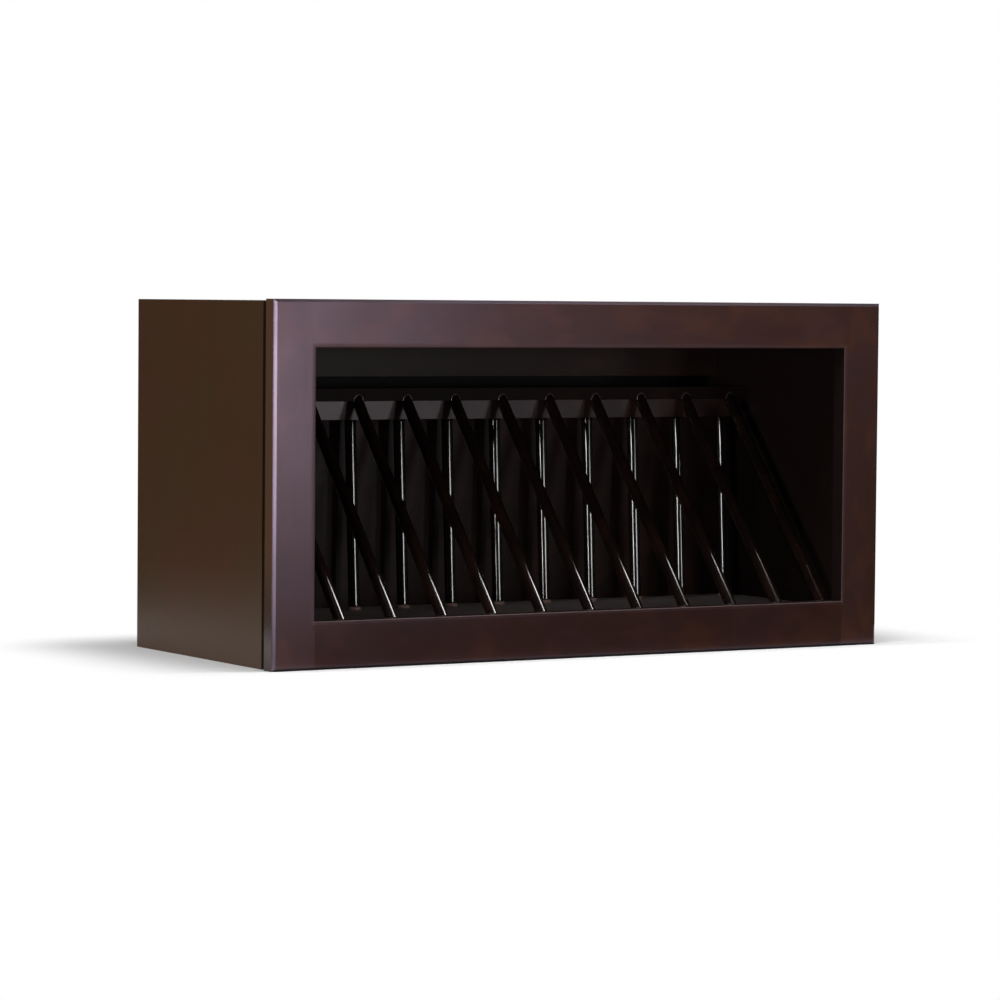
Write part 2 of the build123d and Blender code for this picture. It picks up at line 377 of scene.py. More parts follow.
# %% Measures of the lacquer
ALONG_X, ALONG_Y, ALONG_Z = 0, 1, 2
MM = 0.001
STREAK_WIDTH = 2.2 * MM  # the fine streaks of the grain
BAND_WIDTH = 13 * MM     # the broad ones
COAT_WAVE = 1.9 * MM     # the waves of a sprayed coat
COAT_SWELL = 16 * MM     # its slow ups and downs
SMEAR_WIDTH = 60 * MM    # places with a little more or less shine
GRAIN_STRETCH = 0.05     # a streak's width as a share of its length
PATCH_STRETCH = 0.6      # the same for a patch of stain
WARM_SHIFT = (0.31, 0.17, 0.53)     # where each cloud of patches is cut out of the noise
COOL_SHIFT = (1.73, 0.62, 2.10)
SMEAR_SHIFT = (0.9, 1.4, 0.2)
STREAK_SHARE, BAND_SHARE = 0.5, 0.9     # how much each does to the tone
WARM_SHARE, COOL_SHARE = 0.8, 0.7
WARM_EDGE, COOL_EDGE = (0.47, 0.66), (0.48, 0.68)   # where in the noise a patch begins and is full
COOL_SIZE = 1.4          # a cool patch's size beside a warm one's
WAVE_HEIGHT, SWELL_HEIGHT, STREAK_HEIGHT = 0.3, 1.2, 0.25
SMEAR_SHINE, STREAK_SHINE = 0.10, 0.04
RELIEF_DEPTH = 1.0 * MM
DUST_TINT = (1.0, 0.85, 0.85)
print("coat waves", COAT_WAVE, "m, streaks", STREAK_WIDTH, "m")

# %% A lacquer on wood


def lacquer(name, tones, grain, rough, level=0.5, tint=WHITE, patch=34 * MM, wave=0.03,
            dust=0.0, touch=None):
    """Stained wood under lacquer; grain names the axis that it runs along, touch changes some places."""
    material, start = new_finish(name)
    dark, light, warm, cool = tones
    place = place_of(start)
    fibre = [1.0, 1.0, 1.0]
    fibre[grain] = GRAIN_STRETCH
    along = start.node("ShaderNodeMapping", None, {"Vector": place, "Scale": fibre})
    cloud = [1.0, 1.0, 1.0]
    cloud[grain] = PATCH_STRETCH

    def noise(where, size, detail=2.0):
        return start.node("ShaderNodeTexNoise", None, {
            "Vector": where, "Scale": 1.0 / size, "Detail": detail, "Roughness": 0.55})

    def patches(shift, size):
        where = start.node("ShaderNodeMapping", None, {"Vector": place, "Scale": cloud, "Location": shift})
        return noise(where, size)

    streaks = noise(along, STREAK_WIDTH, 4.0)
    bands = noise(along, BAND_WIDTH)
    tone = (streaks - 0.5) * STREAK_SHARE + (bands - 0.5) * BAND_SHARE + 0.5
    colour = tone.blend(dark, light)
    warmer = patches(WARM_SHIFT, patch).step(*WARM_EDGE) * WARM_SHARE
    colour = warmer.blend(colour, warm)
    cooler = patches(COOL_SHIFT, patch * COOL_SIZE).step(*COOL_EDGE) * COOL_SHARE
    colour = cooler.blend(colour, cool)
    waves = noise(place, COAT_WAVE, 1.0)
    swell = noise(place, COAT_SWELL, 1.0)
    relief = waves * WAVE_HEIGHT + swell * SWELL_HEIGHT + streaks * STREAK_HEIGHT
    bump = start.node("ShaderNodeBump", None, {
        "Strength": wave, "Distance": RELIEF_DEPTH, "Height": relief})
    smear = patches(SMEAR_SHIFT, SMEAR_WIDTH)
    shine = rough + (smear - 0.5) * SMEAR_SHINE + (streaks - 0.5) * STREAK_SHINE
    if touch is not None:
        colour, shine = touch(start, place, colour, shine)
    wood = start.node("ShaderNodeBsdfPrincipled", None, {
        "Base Color": colour, "Roughness": shine, "Normal": bump, "IOR": 1.5,
        "Specular IOR Level": level, "Specular Tint": (*tint, 1),
        "Sheen Weight": dust, "Sheen Roughness": 0.35, "Sheen Tint": (*DUST_TINT, 1)})
    start.node("ShaderNodeOutputMaterial", None, {"Surface": wood})
    print(name, len(material.node_tree.nodes), "shader nodes")
    return material


# %% [markdown]
# Some places differ from the rest of their board. A plywood edge shows its layers. The inside of the
# case carries painted shade, darker than outside, and so do the frame's faces round the opening, and
# the step behind the frame is painted nearly black. The outer sides of the stiles have been sanded
# harder, so they are browner than the frame's face, with painted shade towards their foot, and the
# eased edge round the frame carries painted shade too. Round the opening the lacquer has been rubbed
# and shines less, and along its foot the edge carries a painted pale highlight. The glue beads at the
# uprights' feet and at the slanted dowels' heads carry painted pink highlights. All this could be
# painted on by hand, in a picture laid over each board. Here each of these places is a mask, made
# from the surface's direction or from where it lies, which stays sharp at any distance and follows
# the measured model.

# %% Places that the touches need


def corners(node_name):
    """The lowest and the highest corner of a measured node's box."""
    low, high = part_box(node_name)
    return Vector(low), Vector(high)


OUTER_ARRIS = 3.3 * MM   # the eased edge round the frame
OPENING_ARRIS = 1.1 * MM
SEAM_WIDTH = 11.5 * MM   # the step in a side, behind the frame

stile_low, stile_high = corners("left_stile")
OUTER_X = -stile_low.x
FRAME_TOP = stile_high.z
FRAME_FRONT, FRAME_REAR = stile_low.y, stile_high.y
OPENING_X = corners("bottom_frame_rail")[1].x
OPENING_LOW = corners("bottom_frame_rail")[1].z
OPENING_HIGH = corners("top_frame_rail")[0].z
MIDDLE_Z = (OPENING_LOW + OPENING_HIGH) / 2
CASE_FRONT, CASE_INNER = corners("left_side_panel")[0].y, -corners("left_side_panel")[1].x
SHEET_FRONT = corners("rear_sheet")[0].y
BASE_TOP = corners("rack_base_board")[1].z
RAIL_LOW = corners("rack_top_rail")[0]
print("opening", round(2 * OPENING_X, 4), "x", round(OPENING_HIGH - OPENING_LOW, 4))

# %% Tones of the touches
END_GRAIN = (0.024, 0.0125, 0.0062)
PLY_FACE = (0.072, 0.040, 0.021)
# painted shade on the inside of the case and on the frame's faces round the opening
INSIDE_SHADE_TONE = (0.0105, 0.0058, 0.0046)
# painted shade on the rear sheet's inner side
UNLIT_TONE = (0.0028, 0.0020, 0.0018)
# the step in a side behind the frame, painted nearly black
SEAM_TONE = (0.0110, 0.0048, 0.0014)
EDGE_TONE = (0.074, 0.0395, 0.0220)
# painted shade at the foot of the stiles' outer sides
EDGE_FOOT_SHADE = (0.020, 0.0110, 0.0065)
# painted shade on the eased edge round the frame
EASED_SHADE_TONE = (0.012, 0.0078, 0.0078)
# a painted highlight along the foot of the opening
FOOT_EDGE_HIGHLIGHT = (0.085, 0.0600, 0.0580)
# painted pink highlights on the glue beads at the uprights' feet and at the slanted dowels' heads
FOOT_BEAD_HIGHLIGHT = (0.42, 0.2700, 0.2300)
HEAD_BEAD_HIGHLIGHT = (0.045, 0.026, 0.026)
BEAD_DULLNESS = 0.05     # what a touch adds to the roughness
EASED_DULLNESS = 0.30
RUBBED_DULLNESS = 0.18
LOW_GLOSS = 0.06         # and what the thick lacquer near the frame's foot takes away

# %% Reach of the touches
PLY = 1.41 * MM          # one layer of the plywood
FINE_BLUR, EASED_BLUR, BLUR = 0.2 * MM, 0.3 * MM, 0.5 * MM      # how softly a touch ends
# the painted shade at the foot of the sanded side fades out between these heights
EDGE_FOOT, EDGE_HEAD = 0.02, 0.13       # heights between which the sanded side gets paler
GLOSSY_FOOT, GLOSSY_HEAD = 0.01, 0.12   # and those where the lacquer has run down and set thicker
RUBBED_WIDTH = 6.0 * MM  # how far from the opening the frame shines less
FOOT_BEAD_HEIGHT = 3.0 * MM
HEAD_BEAD_REACH = 0.9 * MM              # either way from the face of the rail
LAYER_EDGE = (0.35, 0.65)               # where one layer of the plywood passes into the next
PLY_EDGE = (0.6, 0.4)    # from here on, how far a surface faces where its touch begins and is full
SANDED_SIDE = (0.80, 0.97)
INNER_FACE = (0.5, 0.1)
UPPER_ARRIS = (0.05, 0.25)
HIGHLIGHT_FROM, HIGHLIGHT_TO = (0.15, 0.35), (0.99, 0.93)
print("rubbed", RUBBED_WIDTH, "m wide, plywood layers", PLY, "m")

# %% Touches on the finishes
SURFACE_WAY = 1          # the output of Geometry that gives the way that a surface faces


def facing(start, axis):
    """How far the surface faces along an axis, either way: 1 is square on and 0 is edge on."""
    return start.node("ShaderNodeNewGeometry", out=SURFACE_WAY).parts()[axis].size()


def ply_edges(axis):
    """Shows the layers of a plywood board on its edges; the axis goes through its thickness."""
    def touch(start, place, colour, shine):
        across = place.parts()[axis]
        layer = start.node("ShaderNodeMath", {"operation": "PINGPONG"}, {0: across / PLY, 1: 1.0})
        edge = layer.step(*LAYER_EDGE).blend(END_GRAIN, PLY_FACE)
        return facing(start, axis).step(*PLY_EDGE).blend(colour, edge), shine
    return touch


def side_touches(start, place, colour, shine):
    """A side's edges, painted shade on its inside, and its step behind the frame painted nearly black."""
    x, y = place.parts()[:2]
    colour, shine = ply_edges(ALONG_X)(start, place, colour, shine)
    inside = x.size().step(CASE_INNER + FINE_BLUR, CASE_INNER)
    # painted shade on the inside of the case
    colour = inside.blend(colour, INSIDE_SHADE_TONE)
    seam = (y - CASE_FRONT).step(SEAM_WIDTH + BLUR, SEAM_WIDTH - BLUR)
    return seam.blend(colour, SEAM_TONE), shine


def frame_touches(start, place, colour, shine):
    """The frame's outer sides with painted shade at their foot, painted shade round the opening and on its
    eased edge, and a painted highlight along the opening's foot.
    """
    x, y, z = place.parts()
    aside, off_middle = x.size(), (z - MIDDLE_Z).size()
    stile_middle = (OUTER_X + OPENING_X) / 2
    outside = aside.step(stile_middle, stile_middle + MM)
    sanded = facing(start, ALONG_X).step(*SANDED_SIDE) * outside
    # the sanded outer side, browner, with painted shade towards its foot
    colour = sanded.blend(colour, z.step(EDGE_FOOT, EDGE_HEAD).blend(EDGE_FOOT_SHADE, EDGE_TONE))
    ahead = facing(start, ALONG_Y)
    rail_middle = OPENING_LOW / 2
    between = off_middle.step(MIDDLE_Z - rail_middle, MIDDLE_Z - rail_middle - MM)
    opening = (1.0 - outside) * between
    # painted shade on the frame's faces round the opening
    colour = (ahead.step(*INNER_FACE) * opening).blend(colour, INSIDE_SHADE_TONE)
    rim = start.sum("MAXIMUM", aside - OUTER_X, off_middle - MIDDLE_Z) + OUTER_ARRIS
    eased = rim.step(-EASED_BLUR, EASED_BLUR) * (y - FRAME_FRONT).step(OUTER_ARRIS, OUTER_ARRIS - MM)
    # painted shade on the eased edge round the frame
    colour = eased.blend(colour, EASED_SHADE_TONE)
    shine = shine + eased * facing(start, ALONG_Z).step(*UPPER_ARRIS) * EASED_DULLNESS
    out = start.sum("MAXIMUM", aside - OPENING_X, off_middle - (MIDDLE_Z - OPENING_LOW))
    shine = shine + out.step(RUBBED_WIDTH, 0.0) * RUBBED_DULLNESS
    shine = shine - z.step(GLOSSY_HEAD, GLOSSY_FOOT) * LOW_GLOSS
    foot = (z - OPENING_LOW).size().step(OPENING_ARRIS + FINE_BLUR, OPENING_ARRIS)
    # a painted highlight along the foot of the opening
    glint = foot * ahead.step(*HIGHLIGHT_FROM) * ahead.step(*HIGHLIGHT_TO) * opening
    return glint.blend(colour, FOOT_EDGE_HIGHLIGHT), shine


def dowel_touches(start, place, colour, shine):
    """Painted pink highlights on the glue beads at an upright's foot and where a slanted dowel enters its
    rail.
    """
    y, z = place.parts()[1:]
    foot = (z - BASE_TOP).step(FOOT_BEAD_HEIGHT + 1.2 * MM, FOOT_BEAD_HEIGHT) * y.step(0.0, MM)
    near_rail = (y - RAIL_LOW.y).size().step(HEAD_BEAD_REACH + 0.3 * MM, HEAD_BEAD_REACH)
    head = near_rail * (z - RAIL_LOW.z).step(-MM, 0.0)
    # painted highlights on the beads
    colour = head.blend(foot.blend(colour, FOOT_BEAD_HIGHLIGHT), HEAD_BEAD_HIGHLIGHT)
    return colour, shine + (foot + head) * BEAD_DULLNESS


def sheet_touches(start, place, colour, shine):
    """Painted shade on the side of the rear sheet that faces into the case."""
    inner = (place.parts()[ALONG_Y] - SHEET_FRONT).step(BLUR, FINE_BLUR)
    return inner.blend(colour, UNLIT_TONE), shine


# %% Tones of the finishes


def deeper(tones, share):
    """The same tones with so much of their light left: a copy of a finish with painted shade, or painted
    light where the share is above 1.
    """
    return tuple(tuple(channel * share for channel in tone) for tone in tones)


# each holds the dark and the light of the grain, then a warm patch and a cool one
FRAME_TONES = (
    (0.032, 0.0135, 0.0100), (0.042, 0.0178, 0.0125), (0.052, 0.0200, 0.0120), (0.034, 0.0160, 0.0155))
CASE_TONES = (
    (0.047, 0.0240, 0.0113), (0.054, 0.0275, 0.0132), (0.056, 0.0240, 0.0127), (0.049, 0.0275, 0.0133))
RACK_TONES = (
    (0.020, 0.0095, 0.0080), (0.029, 0.0138, 0.0112), (0.034, 0.0148, 0.0105), (0.024, 0.0125, 0.0115))
DOWEL_TONES = (
    (0.005, 0.0027, 0.0023), (0.008, 0.0040, 0.0032), (0.013, 0.0050, 0.0034), (0.006, 0.0032, 0.0030))
SHEET_TONES = (
    (0.045, 0.0235, 0.0145), (0.056, 0.0290, 0.0170), (0.060, 0.0280, 0.0165), (0.050, 0.0265, 0.0165))
ROSE = (0.97, 0.75, 1.0)
SHELL = (1.0, 0.93, 0.97)

# %% The finishes
# after the axis of the grain stand the roughness and, where it isn't 0.5, the level of reflection
stile_finish = lacquer("frame_lacquer_upright", FRAME_TONES, ALONG_Z, 0.24, tint=ROSE,
                       touch=frame_touches)
rail_finish = lacquer("frame_lacquer_across", FRAME_TONES, ALONG_X, 0.24, tint=ROSE,
                      touch=frame_touches)
# the bottom rail is a copy of the frame's lacquer, painted 30% darker: painted shade
shaded_lower_finish = lacquer("frame_lacquer_lower_shaded", deeper(FRAME_TONES, 0.70), ALONG_X, 0.24, 0.30,
                       tint=ROSE, touch=frame_touches)
side_finish = lacquer("case_lacquer_upright", CASE_TONES, ALONG_Z, 0.36, 0.25, patch=70 * MM,
                      touch=side_touches)
panel_finish = lacquer("case_lacquer_across", CASE_TONES, ALONG_X, 0.40, 0.3, patch=70 * MM,
                       touch=ply_edges(ALONG_Z))
hanger_finish = lacquer("hanging_rail_lacquer", RACK_TONES, ALONG_X, 0.40, 0.20)
# the rack's boards share one lacquer: painted shade on the base board and more on the rail's front, and
# painted light on the apron
shaded_board_finish = lacquer("rack_lacquer_across", deeper(RACK_TONES, 0.7), ALONG_X, 0.38, 0.30, dust=0.12)
shaded_rail_front_finish = lacquer("rack_rail_lacquer", deeper(RACK_TONES, 0.45), ALONG_X, 0.45, 0.06)
lit_apron_finish = lacquer("apron_lacquer", deeper(RACK_TONES, 1.3), ALONG_X, 0.30, 0.65, tint=SHELL)
back_finish = lacquer("rack_back_lacquer", RACK_TONES, ALONG_X, 0.34, 0.12)
dowel_finish = lacquer("dowel_lacquer", DOWEL_TONES, ALONG_Z, 0.12, 0.8, wave=0.006,
                       touch=dowel_touches)
sheet_finish = lacquer("sheet_lacquer_dull", SHEET_TONES, ALONG_X, 0.55, 0.12, patch=100 * MM,
                       touch=sheet_touches)

# %% [markdown]
# ## Tools of the bench
# A few helpers stand for what hands do in Blender: pick one piece, add a block of wood, choose the
# faces or edges that lie in some place, round an edge, cut a groove or drill a hole.

# %% Picking and adding
SMALL = 1e-5


def only(*chosen):
    """Selects these pieces and nothing else."""
    bpy.ops.object.select_all(action="DESELECT")
    for piece in chosen:
        piece.select_set(True)
    bpy.context.view_layer.objects.active = chosen[0]


def block(name, low, high):
    """Adds a plain block of wood between two corners."""
    bpy.ops.object.select_all(action="DESELECT")
    low, high = Vector(low), Vector(high)
    bpy.ops.mesh.primitive_cube_add(size=1, location=(low + high) / 2)
    piece = bpy.context.active_object
    piece.name = piece.data.name = name
    piece.scale = high - low
    bpy.ops.object.transform_apply(location=True, rotation=True, scale=True)
    return piece


def drill_rod(start, end, radius, sides=48):
    """Adds a round rod between two points, as a cutter."""
    bpy.ops.object.select_all(action="DESELECT")
    start, end = Vector(start), Vector(end)
    run = end - start
    bpy.ops.mesh.primitive_cylinder_add(
        vertices=sides, radius=radius, depth=run.length, location=(start + end) / 2,
        rotation=run.to_track_quat("Z", "Y").to_euler())
    rod = bpy.context.active_object
    bpy.ops.object.transform_apply(location=True, rotation=True, scale=True)
    return rod


def carve(piece, tools, operation="DIFFERENCE"):
    """Takes the shapes of the tools out of a piece, or joins them to it, and puts the tools away."""
    only(*tools)
    if len(tools) > 1:
        bpy.ops.object.join()
    tool = bpy.context.active_object
    only(piece)
    work = piece.modifiers.new("carve", "BOOLEAN")
    work.object = tool
    work.operation = operation
    work.solver = "EXACT"
    work.use_self = True
    bpy.ops.object.modifier_apply(modifier=work.name)
    bpy.data.objects.remove(tool, do_unlink=True)


# %% Rounding and finishing
SHARP_ANGLE = 40         # degrees between two faces, past which sanding rounds their edge
BOARD_ANGLE = 35         # and past which shading keeps the edge hard
ROD_ANGLE = 50


def round_edges(piece, width, segments=3):
    """Rounds every sharp edge of a piece a little, as sanding does."""
    only(piece)
    arris = piece.modifiers.new("arris", "BEVEL")
    arris.width = width
    arris.segments = segments
    arris.limit_method = "ANGLE"
    arris.angle_limit = math.radians(SHARP_ANGLE)
    arris.use_clamp_overlap = True
    bpy.ops.object.modifier_apply(modifier=arris.name)


def smooth(piece, angle=BOARD_ANGLE):
    """Shades the rounded edges smooth, and keeps the large faces between them flat."""
    only(piece)
    bpy.ops.object.shade_smooth_by_angle(angle=math.radians(angle))
    even = piece.modifiers.new("even", "WEIGHTED_NORMAL")
    even.keep_sharp = True
    bpy.ops.object.modifier_apply(modifier=even.name)


def choose(kind, test):
    """In edit mode, selects the faces or edges whose middle and direction pass a test."""
    mesh = bmesh.from_edit_mesh(bpy.context.edit_object.data)
    bpy.ops.mesh.select_mode(type=kind)
    bpy.ops.mesh.select_all(action="DESELECT")
    for item in (mesh.faces if kind == "FACE" else mesh.edges):
        if kind == "FACE":
            middle, direction = item.calc_center_median(), item.normal
        else:
            ends = [corner.co for corner in item.verts]
            middle, direction = (ends[0] + ends[1]) / 2, (ends[1] - ends[0]).normalized()
        if test(middle, direction):
            item.select = True
    mesh.select_flush(True)
    bmesh.update_edit_mesh(bpy.context.edit_object.data)


def hand_over(piece, finish, slot, *nodes):
    """Gives a piece its finish and its place on the cabinet."""
    piece.data.materials.clear()
    piece.data.materials.append(finish)
    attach(piece, "root")
    if nodes:
        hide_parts(*nodes)


# %% [markdown]
# ## The face frame
# Four hardwood boards make the frame: two stiles run from top to bottom and two rails fit between
# them. After gluing, the whole frame is sanded and its front edges are eased in one pass, so the
# eased edge runs on across the joints. The shape is made the same way: one block, opened in the
# middle, eased, and only then parted into its four boards. The outer edge is a little flatter than
# a true round, which is why it mirrors the left lamp as one broad bright line.

# %% Shape the frame in one piece
OUTER_PROFILE = 0.27     # 0.25 is flat and 0.5 is round
OPENING_PROFILE = 0.5


def near(first, second):
    """Whether two lengths are the same, but for rounding."""
    return abs(first - second) < SMALL


def outer_edge(at, way):
    """Whether an edge lies on the frame's front, at its outside."""
    return near(at.y, FRAME_FRONT) and (near(abs(at.x), OUTER_X) or near(at.z, 0) or near(at.z, FRAME_TOP))


def opening_edge(at, way):
    """Whether an edge lies on the frame's front, round the opening."""
    upright = near(abs(at.x), OPENING_X) and OPENING_LOW < at.z < OPENING_HIGH
    across = abs(at.x) < OPENING_X and (near(at.z, OPENING_LOW) or near(at.z, OPENING_HIGH))
    return near(at.y, FRAME_FRONT) and (upright or across)


def middle_face(at, out):
    """Whether a face lies in the middle of the blank's front or back."""
    return abs(out.y) > 0.9 and near(at.x, 0) and near(at.z, MIDDLE_Z)


def whole_frame():
    """One block, scored along the opening's sides, bridged through its middle and eased."""
    piece = block("frame_blank", (-OUTER_X, FRAME_FRONT, 0), (OUTER_X, FRAME_REAR, FRAME_TOP))
    only(piece)
    bpy.ops.object.mode_set(mode="EDIT")
    for place, across in (((-OPENING_X, 0, 0), (1, 0, 0)), ((OPENING_X, 0, 0), (1, 0, 0)),
                          ((0, 0, OPENING_LOW), (0, 0, 1)), ((0, 0, OPENING_HIGH), (0, 0, 1))):
        bpy.ops.mesh.select_all(action="SELECT")
        bpy.ops.mesh.bisect(plane_co=place, plane_no=across)
    choose("FACE", middle_face)
    bpy.ops.mesh.bridge_edge_loops()
    choose("EDGE", outer_edge)
    bpy.ops.mesh.bevel(offset=OUTER_ARRIS, segments=7, profile=OUTER_PROFILE)
    choose("EDGE", opening_edge)
    bpy.ops.mesh.bevel(offset=OPENING_ARRIS, segments=5, profile=OPENING_PROFILE)
    bpy.ops.object.mode_set(mode="OBJECT")
    return piece


blank = whole_frame()
print("frame blank", len(blank.data.polygons), "faces")

# %% Part it into stiles and rails
JOINT_LAP = 0.15 * MM    # how far a stile's corner goes past the opening's side
JOINT_X = OPENING_X - JOINT_LAP


def member(name, cuts):
    """One board of the frame: a copy of the blank with all beyond its joints cut away."""
    only(blank)
    bpy.ops.object.duplicate()
    piece = bpy.context.active_object
    piece.name = piece.data.name = name
    bpy.ops.object.mode_set(mode="EDIT")
    for place, outward in cuts:
        bpy.ops.mesh.select_all(action="SELECT")
        bpy.ops.mesh.bisect(plane_co=place, plane_no=outward, use_fill=True, clear_outer=True)
    bpy.ops.object.mode_set(mode="OBJECT")
    return piece


members = {
    "left_stile": member("stile_left_lacquered", [((-JOINT_X, 0, 0), (1, 0, 0))]),
    "right_stile": member("stile_right_lacquered", [((JOINT_X, 0, 0), (-1, 0, 0))]),
}
for node_name, outward in (("top_frame_rail", (0, 0, -1)), ("bottom_frame_rail", (0, 0, 1))):
    members[node_name] = member(node_name.replace("frame_rail", "rail_lacquered"), [
        ((-JOINT_X, 0, 0), (-1, 0, 0)), ((JOINT_X, 0, 0), (1, 0, 0)), ((0, 0, MIDDLE_Z), outward)])
bpy.data.objects.remove(blank, do_unlink=True)

# %% Drill the pockets and finish the frame
POCKET_ANGLE = math.radians(15)
POCKET_RADIUS = 4.75 * MM
POCKET_START = 15 * MM   # from the joint to the bottom of the pocket
POCKET_REACH = 150 * MM  # long enough to come out at the back
POCKET_SIDES = 32


def pocket(x, y, z, side):
    """The wide hole behind a screw's head, drilled at a slant into a board's back."""
    along = Vector((side * math.cos(POCKET_ANGLE), -math.sin(POCKET_ANGLE), 0))
    head = Vector((x, y, z)) - along * POCKET_START
    return drill_rod(head - along * POCKET_REACH, head, POCKET_RADIUS, POCKET_SIDES)


middle_y = (FRAME_FRONT + FRAME_REAR) / 2
for node_name in ("top_frame_rail", "bottom_frame_rail"):
    low, high = corners(node_name)
    quarter = (high.z - low.z) / 4
    carve(members[node_name], [pocket(side * OPENING_X, middle_y, z, side)
                               for side in (-1, 1) for z in (low.z + quarter, high.z - quarter)])
member_finishes = {"left_stile": stile_finish, "right_stile": stile_finish,
                   "top_frame_rail": rail_finish, "bottom_frame_rail": shaded_lower_finish}
for node_name, piece in members.items():
    hand_over(piece, member_finishes[node_name], "frame_lacquer", node_name)
    smooth(piece)
    print(piece.name, len(piece.data.polygons), "faces")

# %% [markdown]
# ## The case
# The sides are plywood. Each has grooves for the top, the bottom and the rack's back panel, and a
# step for the thin sheet behind. A groove could be sunk into a board by extruding faces inwards, but
# then every cut would need faces of its own first. The grooves are cut here as a saw cuts them, with
# blocks that are a little longer than the cut. Just behind the frame a dark line runs down the
# side: a shallow step in the panel's face, painted nearly black.

# %% Sides
OVERRUN = 5 * MM
ARRIS = 0.5 * MM
SEAM_DEPTH = 1.2 * MM
OPEN_ENDS = {            # along X, Y and Z: where a board's groove runs out at its low and its high end
    "top_panel": ((0, 1, 0), (0, 0, 1)),
    "bottom_panel": ((0, 1, 0), (0, 0, 0)),
    "rear_sheet": ((0, 0, 1), (0, 1, 1)),
    "rack_back_panel": ((0, 0, 0), (0, 0, 0)),
}


def side_board(node_name, side):
    """A side of the case with its grooves and its step; side is -1 on the left and 1 on the right."""
    low, high = corners(node_name)
    piece = block(node_name.replace("side_panel", "side_lacquered"), low, high)
    inner, outer = (high.x, low.x) if side < 0 else (low.x, high.x)
    cutters = []
    for held, (before, after) in OPEN_ENDS.items():
        first, last = corners(held)
        reach = sorted((inner - side * OVERRUN, side * last.x))
        start = Vector((reach[0], first.y, first.z)) - Vector(before) * OVERRUN
        end = Vector((reach[1], last.y, last.z)) + Vector(after) * OVERRUN
        cutters.append(block("cutter", start, end))
    step = sorted((outer + side * OVERRUN, outer - side * SEAM_DEPTH))
    cutters.append(block("cutter", (step[0], low.y - OVERRUN, low.z - OVERRUN),
                         (step[1], low.y + SEAM_WIDTH, high.z + OVERRUN)))
    carve(piece, cutters)
    round_edges(piece, ARRIS, 2)
    return piece


for node_name, side in (("left_side_panel", -1), ("right_side_panel", 1)):
    piece = side_board(node_name, side)
    hand_over(piece, side_finish, "case_lacquer", node_name)
    smooth(piece)
    print(piece.name, len(piece.data.polygons), "faces")

# %% Boards of the case
PANEL_ARRIS = 0.3 * MM
HANGER_ARRIS = 1.0 * MM


def plain_board(node_name, name, finish, slot, arris, cutters=()):
    """A board as large as its node, with its holes and its edges rounded."""
    piece = block(name, *corners(node_name))
    if cutters:
        carve(piece, list(cutters))
    round_edges(piece, arris, 3)
    hand_over(piece, finish, slot, node_name)
    smooth(piece)
    print(name, len(piece.data.polygons), "faces")


plain_board("top_panel", "top_lacquered", panel_finish, "case_lacquer", PANEL_ARRIS)
plain_board("bottom_panel", "bottom_lacquered", panel_finish, "case_lacquer", PANEL_ARRIS)
plain_board("rear_sheet", "rear_sheet_stained", sheet_finish, "sheet_lacquer", PANEL_ARRIS)
for node_name in ("upper_hanging_rail", "lower_hanging_rail"):
    plain_board(node_name, node_name + "_lacquered", hanger_finish, "case_lacquer", HANGER_ARRIS)

# %% [markdown]
# ## The rack's boards
# The dowels stand in the base board. At the top the slanted ones run into the front edge of the
# flat rail and the upright ones into the apron under it. A panel closes the rack behind them. Both
# rows lean back, the uprights only a little. A measured box holds a dowel exactly, so the lean can
# be worked out from the box.

# %% Places of the dowels
DOWEL_COUNT = 12
APRON_LOW = corners("rack_apron")[0]
HOLE_PLAY = 0.05 * MM
SETTLING = 12            # rounds in which the lean and the room that the rod takes settle


class Leaning:
    """The middle line of a dowel that leans back, from the box round it."""

    def __init__(self, node_name):
        low, high = corners(node_name)
        self.radius = (high.x - low.x) / 2
        self.lean = 0.0
        for _ in range(SETTLING):
            side, up = math.cos(self.lean) * self.radius, math.sin(self.lean) * self.radius
            self.lean = math.atan2(high.y - low.y - 2 * side, high.z - low.z - 2 * up)
        self.foot = Vector(((low.x + high.x) / 2, low.y + side, low.z + up))
        self.head = Vector((self.foot.x, high.y - side, high.z - up))

    def at(self, z):
        """The middle of the dowel at a height."""
        return self.foot.lerp(self.head, (z - self.foot.z) / (self.head.z - self.foot.z))

    def hole(self):
        """A cutter for the dowel's holes."""
        return drill_rod(self.foot, self.head, self.radius + HOLE_PLAY)


uprights = [Leaning(f"upright_dowel_{number:02d}") for number in range(1, DOWEL_COUNT + 1)]
slants = [Leaning(f"slanted_dowel_{number:02d}") for number in range(1, DOWEL_COUNT + 1)]
for dowel in (uprights[0], slants[0]):
    print("radius", round(dowel.radius, 5), "lean", round(math.degrees(dowel.lean), 2))

# %% Boards of the rack
RACK_PANEL_ARRIS = 0.4 * MM

plain_board("rack_base_board", "rack_base_lacquered", shaded_board_finish, "rack_lacquer", ARRIS,
            [dowel.hole() for dowel in uprights + slants])
plain_board("rack_back_panel", "rack_back_lacquered", back_finish, "rack_lacquer", RACK_PANEL_ARRIS)
plain_board("rack_top_rail", "rack_rail_lacquered", shaded_rail_front_finish, "rack_lacquer", ARRIS,
            [dowel.hole() for dowel in slants])
plain_board("rack_apron", "rack_apron_lacquered", lit_apron_finish, "rack_lacquer", ARRIS,
            [dowel.hole() for dowel in uprights])

# %% [markdown]
# ## The dowels
# Half-inch dowels, sprayed after they were glued in: glue and lacquer stand in a round bead where
# each one meets a board, and that bead catches the light. A cylinder with a ring laid round its foot
# would be quicker, but would leave a crease between the two. So a dowel is drawn up from a circle,
# ring by ring, and the beads are part of it. One is made of each kind, and the others are copies.

